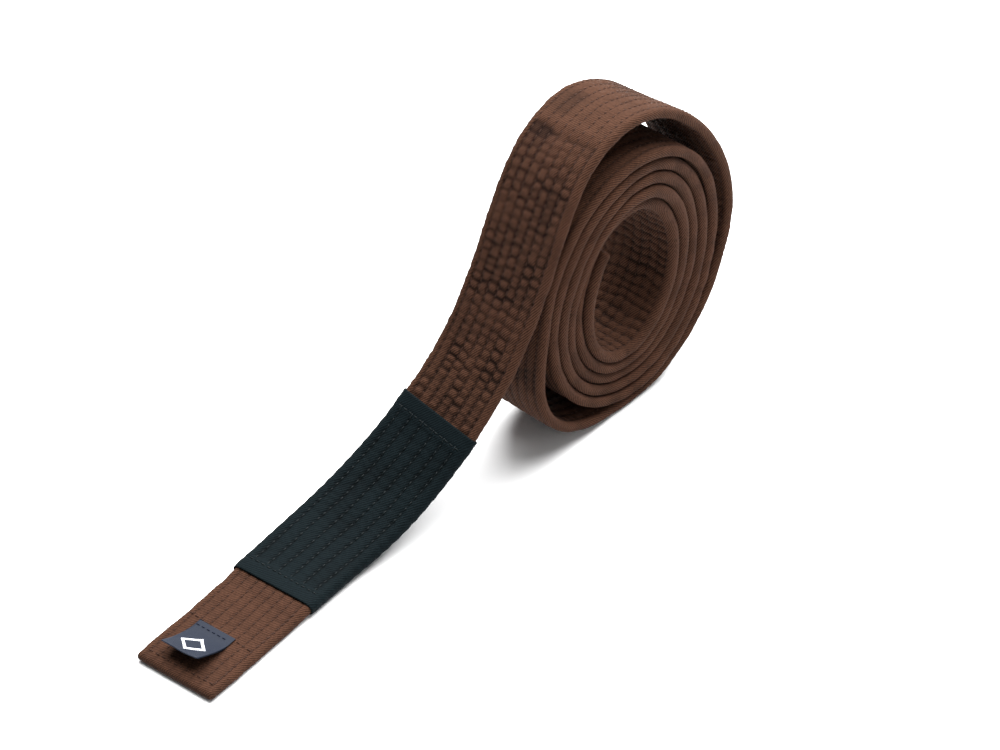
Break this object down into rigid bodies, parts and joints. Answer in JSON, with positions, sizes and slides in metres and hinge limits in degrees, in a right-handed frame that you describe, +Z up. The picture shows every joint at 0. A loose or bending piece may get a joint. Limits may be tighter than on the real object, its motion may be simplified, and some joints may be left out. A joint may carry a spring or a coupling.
{
  "type": "martial arts belt",
  "caption": "Padded brown cloth belt for martial arts, rolled up on its rim with its free end laid out, showing a black rank bar and a small folded size label.",
  "frame": {"origin": "on the floor, under the middle of the whole object's box", "axes": "+X along the roll's axis (the strap's width), +Y from the strap's tip towards the roll, +Z up"},
  "size_m": [0.0526, 0.3168, 0.1484],
  "materials": {
    "brown_twill": "matt brown cotton twill",
    "black_twill": "black cotton twill with a slight sheen",
    "navy_tape": "navy woven polyester tape",
    "wadding": "undyed cotton wadding",
    "brown_thread": "brown sewing thread",
    "black_thread": "black sewing thread",
    "navy_thread": "navy sewing thread"
  },
  "bodies": {
    "roll": {"cover_roll": "brown_twill", "wadding_roll_inner": "wadding", "wadding_roll_outer": "wadding"},
    "inner_end": {"cover_inner_end": "brown_twill", "wadding_inner_end_inner": "wadding", "wadding_inner_end_outer": "wadding"},
    "loop": {"cover_loop": "brown_twill", "wadding_loop_inner": "wadding", "wadding_loop_outer": "wadding"},
    "upper_tail": {"cover_upper_tail": "brown_twill", "wadding_upper_tail_inner": "wadding", "wadding_upper_tail_outer": "wadding"},
    "lower_tail": {"cover_lower_tail": "brown_twill", "wadding_lower_tail_inner": "wadding", "wadding_lower_tail_outer": "wadding"},
    "bar": {"cover_bar": "brown_twill", "rank_bar_hem_thread_foot": "black_thread", "rank_bar_hem_thread_top": "black_thread", "rank_bar_sleeve": "black_twill", "rank_bar_thread_1": "black_thread", "rank_bar_thread_2": "black_thread", "rank_bar_thread_3": "black_thread", "rank_bar_thread_4": "black_thread", "rank_bar_thread_5": "black_thread", "rank_bar_thread_6": "black_thread", "wadding_bar_inner": "wadding", "wadding_bar_outer": "wadding"},
    "tip": {"cover_tip": "brown_twill", "label_base": "navy_tape", "label_thread": "navy_thread", "tip_thread_cross": "brown_thread", "tip_thread_edge": "brown_thread", "tip_thread_end": "brown_thread", "wadding_tip_inner": "wadding", "wadding_tip_outer": "wadding"},
    "label_flap": {"label_flap": "navy_tape"}
  },
  "joints": [
    {"name": "inner_end_bend", "type": "hinge", "parent": "roll", "child": "inner_end", "pos_m": [0.0063, 0.0644, 0.0591], "axis": [-1, 0, 0], "range_deg": [0, 24]},
    {"name": "loop_lift", "type": "hinge", "parent": "roll", "child": "loop", "pos_m": [0.0063, 0.14609, 0.03585], "axis": [-1, 0, 0], "range_deg": [0, 38]},
    {"name": "shoulder_bend", "type": "hinge", "parent": "loop", "child": "upper_tail", "pos_m": [0.0063, 0.0738, 0.1416], "axis": [-1, 0, 0], "range_deg": [0, 38]},
    {"name": "knee_bend", "type": "hinge", "parent": "upper_tail", "child": "lower_tail", "pos_m": [0.0063, 0.0359, 0.0915], "axis": [-1, 0, 0], "range_deg": [0, 38]},
    {"name": "bar_bend", "type": "hinge", "parent": "lower_tail", "child": "bar", "pos_m": [0.0063, -0.001, 0.0396], "axis": [-1, 0, 0], "range_deg": [0, 32]},
    {"name": "tip_bend", "type": "hinge", "parent": "bar", "child": "tip", "pos_m": [0.0063, -0.0978, 0.0035], "axis": [-1, 0, 0], "range_deg": [0, 34]},
    {"name": "label_lift", "type": "hinge", "parent": "tip", "child": "label_flap", "pos_m": [0.0063, -0.13437, 0.00505], "axis": [-1, 0, 0], "range_deg": [-11, 120]}
  ]
}
